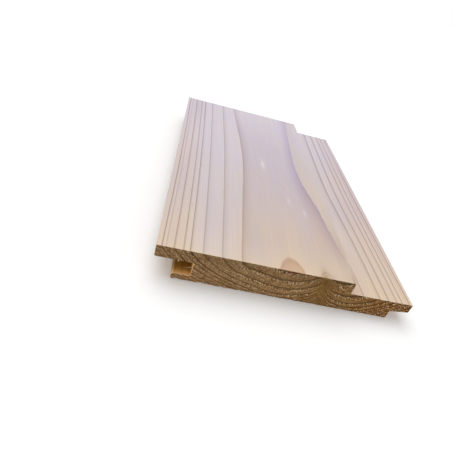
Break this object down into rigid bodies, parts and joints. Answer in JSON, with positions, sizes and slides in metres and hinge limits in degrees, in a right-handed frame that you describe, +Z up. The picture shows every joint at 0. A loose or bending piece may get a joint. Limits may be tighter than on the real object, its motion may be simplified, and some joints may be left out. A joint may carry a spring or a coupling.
{
  "type": "tongue and groove pine cladding board",
  "caption": "Short length of planed pine cladding board with a long lip over a groove on one edge, and a lowered lap that ends in a tapered tongue on the other.",
  "frame": {"origin": "middle of the back face, on the surface that the board lies on", "axes": "+X across the width from the lip to the tongue, +Y along the grain, +Z up through the thickness"},
  "size_m": [0.1366, 0.215, 0.019],
  "materials": {
    "planed_pine": "planed, bare"
  },
  "bodies": {
    "root": {"pine_board": "planed_pine"}
  },
  "joints": []
}
